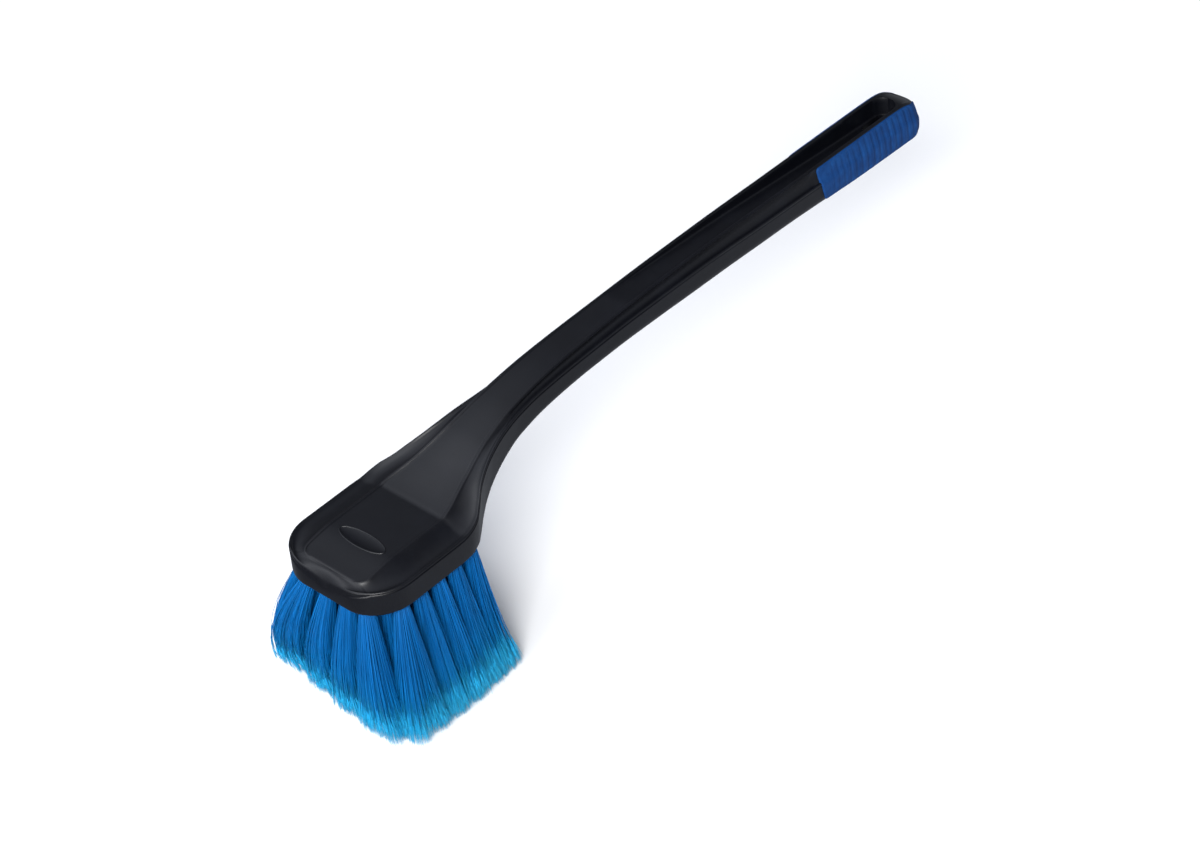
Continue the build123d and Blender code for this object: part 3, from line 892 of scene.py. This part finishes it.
def make_tuft(node, number, material, outer, bulge, lean, curl, depth):
    """One tuft of separate filaments with split ends, from its hole to its CAD tuft's tip."""
    rng = np.random.default_rng(SEED * 1000 + number)
    root, tip, half = tuft_frame(node)
    count = FILAMENTS_OUTER if outer else FILAMENTS_INNER
    radius = rng.uniform(0, 1, count) ** 0.4
    turn = rng.uniform(0, 2 * math.pi, count)
    disc = np.stack([radius * np.cos(turn), radius * np.sin(turn)], axis=1)
    # the round bundle squares off as it fans out against its neighbours
    square = disc / np.maximum(np.abs(disc).max(axis=1, keepdims=True), 1e-6) * radius[:, None]
    tip_place = (1 - TIP_SQUARE) * disc + TIP_SQUARE * square
    start = np.zeros((count, 3))
    start[:, :2] = root[:2] + disc * (HOLE_RADIUS - 0.45) * MM
    start[:, 2] = BLOCK_Z + 3 * MM
    end = np.zeros((count, 3))
    end[:, :2] = tip[:2] + tip_place * half[:2] * TIP_SPREAD + rng.normal(0, TIP_SCATTER, (count, 2)) * MM
    end[:, :2] += np.clip(tip_place @ np.array(lean), 0, None)[:, None] * np.array(lean) * CORNER_REACH * MM
    ragged = rng.uniform(0, TIP_RAGGED, count) ** 3 + rng.uniform(0, TUFT_RAGGED)
    end[:, 2] = tip[2] + ragged * MM
    end += np.array(curl) * MM
    own = start[:, None, :2] - root[:2]
    far = end[:, None, :2] - tip[:2]
    sway = rng.normal(0, SWAY, (count, 1, 2)) * MM
    phase = rng.uniform(0, 2 * math.pi, (count, 1, 1))
    flagged = rng.uniform(*FLAG_SHARE, (count, 1, 1))

    def path(t):
        """Places along every filament: the tuft's middle runs straight while its filaments splay quickly."""
        points = start[:, None] * (1 - t) + end[:, None] * t
        axis = root[:2] * (1 - t ** AXIS_BEND) + tip[:2] * t ** AXIS_BEND
        points[..., :2] = axis + own * (1 - t ** SPLAY) + far * t ** SPLAY
        points[..., :2] += np.array(bulge) * MM * np.sin(math.pi * t ** BULGE_PLACE)
        points[..., :2] += sway * np.sin(math.pi * 1.5 * t + phase) * t
        return points

    stem_t = np.linspace(0, 1, PATH_STEPS)[None, :, None] * (1 - flagged)
    flag_t = 1 - flagged * np.array([1.0, 0.5, 0.0])[None, :, None]
    flag_path = path(flag_t)
    taper = np.linspace(1.0, 0.8, PATH_STEPS)[None, :]
    radii = FILAMENT_RADIUS * MM * taper * rng.uniform(0.85, 1.15, (count, 1))
    parts = [tubes(path(stem_t), radii)]
    tones = [np.repeat(rng.uniform(0, 1, count), PATH_STEPS * SIDES)]
    from_tip = [np.repeat((1 - stem_t).ravel(), SIDES)]
    for _ in range(FLAGS):
        splay = rng.normal(0, FLAG_SCATTER, (count, 3)) * MM
        splay[:, 2] = np.abs(splay[:, 2]) * 0.6
        flag = flag_path + splay[:, None] * np.array(FLAG_REACH)[None, :, None]
        shape = np.array(FLAG_TAPER)[None, :] * FILAMENT_RADIUS * MM
        parts.append(tubes(flag, np.repeat(shape, count, axis=0)))
        tones.append(np.repeat(rng.uniform(0, 1, count), 3 * SIDES))
        from_tip.append(np.repeat((1 - flag_t).ravel(), SIDES))
    verts, quads, caps, offset = [], [], [], 0
    for v, q, c in parts:
        verts.append(v)
        quads.append(q + offset)
        caps.append(c + offset)
        offset += len(v)
    faces = [tuple(f) for f in np.concatenate(quads)] + [tuple(f) for f in np.concatenate(caps)]
    piece = new_piece(node + "_filaments", np.concatenate(verts), faces, material)
    # painted shade mask, stored as the depth attribute: 1 for inner tufts, 0 for the outer rows
    inside = np.full(offset, depth)
    stored = (("tone", np.concatenate(tones)), ("from_tip", np.concatenate(from_tip)), ("depth", inside))
    for name, values in stored:
        data = piece.data.attributes.new(name, "FLOAT", "POINT").data
        data.foreach_set("value", values.astype(np.float32))
    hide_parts(node)


def make_bristles(material):
    """Every tuft, each leaning, bulging or curling by where it stands in the grid."""
    nodes = tuft_nodes()
    places = {n: tuple(int(part) for part in n.split("_")[1:]) for n in nodes}
    rows = [r for r, _ in places.values()]
    columns = [c for _, c in places.values()]
    for number, node in enumerate(nodes):
        row, column = places[node]
        outer = row in (min(rows), min(rows) + 1, max(rows)) or column in (min(columns), max(columns))
        forward = max(0.0, 1 - (row - min(rows)) / 2.5)
        aside = 2 * (column - min(columns)) / (max(columns) - min(columns)) - 1
        # the two tufts on each side of a missing front corner spread into it
        lean = (0, 0)
        if row == min(rows) and column in (min(columns) + 1, max(columns) - 1):
            lean = (0, -1 if column < 3 else 1)
        elif row == min(rows) + 1 and column in (min(columns), max(columns)):
            lean = (-1, 0)
        # the front left corner curls outwards and up, and the rear right one stands straighter
        curled = min(forward, 1.0) * min(max((aside + 0.4) / 1.4, 0.0), 1.0)
        upright = max(0.0, (row - max(rows) + 2) / 2) * max(0.0, -aside)
        curl = (CURL_TIP[0] * curled - UPRIGHT_TIP[0] * upright,
                CURL_TIP[1] * curled + UPRIGHT_TIP[1] * upright, CURL_TIP[2] * curled)
        bulge = (-BULGE * forward - CURL_BULGE[0] * curled - UPRIGHT_BULGE * upright,
                 BULGE * forward * aside + CURL_BULGE[1] * curled + upright)
        edge = min(row - min(rows), max(rows) - row, column - min(columns), max(columns) - column)
        by_corner = row == min(rows) + 1 and column in (min(columns) + 1, max(columns) - 1)
        # the last argument is the painted shade mask: inner tufts get painted shade near their roots; the
        # outer rows and the tufts by the missing corners get none
        make_tuft(node, number, material, outer, bulge, lean, curl, 0 if by_corner else min(edge, 1))


# ---- studio --------------------------------------------------------------------------------------
FLOOR_HALF = 6.0
FLOOR_GAP = 0.0002
# name, place, target, size and watts
LIGHTS = [("overhead", (-1.2, 1.1, 1.9), (0, 0, 0), (1.4, 1.2), 5),
          ("key", (-2.2, -1.5, 1.9), (-0.15, 0, 0), (1.5, 1.5), 130),
          ("left_fill", (-2.6, -0.1, 1.1), (-0.15, 0, 0.02), (1.2, 1.0), 26)]
# brightness of the surroundings by how near a direction is to the axis, and their tint
SKY = 1.3
SKY_AXIS = (-0.5, 0.45, 0.74)
SKY_LEVELS = [(0.0, 0.28), (0.42, 0.25), (0.52, 0.06), (0.73, 0.06), (0.81, 0.42), (0.90, 0.50),
              (0.95, 0.75), (1.0, 1.2)]
SKY_TINT = (0.95, 1, 1.12)


def make_floor():
    """A plain pale floor just under the bristles."""
    mesh = bpy.data.meshes.new("floor")
    size, z = FLOOR_HALF, cad_box[0][2] - FLOOR_GAP
    corners = [(-size, -size, z), (size, -size, z), (size, size, z), (-size, size, z)]
    mesh.from_pydata(corners, [], [(0, 1, 2, 3)])
    floor = bpy.data.objects.new("floor", mesh)
    material, _, _, shader = new_material("pale_floor")
    shader.inputs["Base Color"].default_value = (0.97, 0.97, 0.97, 1)
    shader.inputs["Roughness"].default_value = 0.9
    shader.inputs["Specular IOR Level"].default_value = 0.1
    mesh.materials.append(material)
    bpy.context.scene.collection.objects.link(floor)
    floor.visible_glossy = False


def area_light(name, at, target, size, power):
    """A soft rectangular light that faces its target."""
    data = bpy.data.lights.new(name, "AREA")
    data.shape = "RECTANGLE"
    data.size, data.size_y = size
    data.energy = power
    light = bpy.data.objects.new(name, data)
    light.location = at
    light.rotation_euler = (Vector(target) - Vector(at)).to_track_quat("-Z", "Y").to_euler()
    bpy.context.scene.collection.objects.link(light)


def studio_world():
    """Dark walls and one broad bright patch high over the head's left side, with no picture."""
    world = bpy.data.worlds.new("studio")
    world.use_nodes = True
    nodes, links = world.node_tree.nodes, world.node_tree.links
    background = nodes["Background"]
    background.inputs["Strength"].default_value = SKY
    lean = nodes.new("ShaderNodeVectorMath")
    lean.operation = "DOT_PRODUCT"
    lean.inputs[1].default_value = Vector(SKY_AXIS).normalized()
    links.new(nodes.new("ShaderNodeTexCoord").outputs["Generated"], lean.inputs[0])
    rise = map_range(nodes, links, lean.outputs["Value"], -1.0, 1.0, 0.0, 1.0)
    stops = [(place, tuple(level * tint for tint in SKY_TINT)) for place, level in SKY_LEVELS]
    links.new(ramp(nodes, links, rise, stops), background.inputs["Color"])
    bpy.context.scene.world = world


def make_lights():
    """The surroundings and the three lamps."""
    studio_world()
    for lamp in LIGHTS:
        area_light(*lamp)
    bpy.context.scene.view_settings.view_transform = "Standard"


make_camera()
plastic = black_plastic()
rubber = grip_rubber()
rings = handle_rings()
grids = moulding_grids(*rings)
make_handle(grids, plastic)
make_badge(plastic)
make_grip("grip_right", -1, rings, grids[0], rubber)
make_grip("grip_left", 1, rings, grids[0], rubber)
make_bristles(bristle())
wire = steel()
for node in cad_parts:
    if node.startswith("anchors_row"):
        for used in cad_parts[node].material_slots:
            used.material = wire
make_floor()
make_lights()
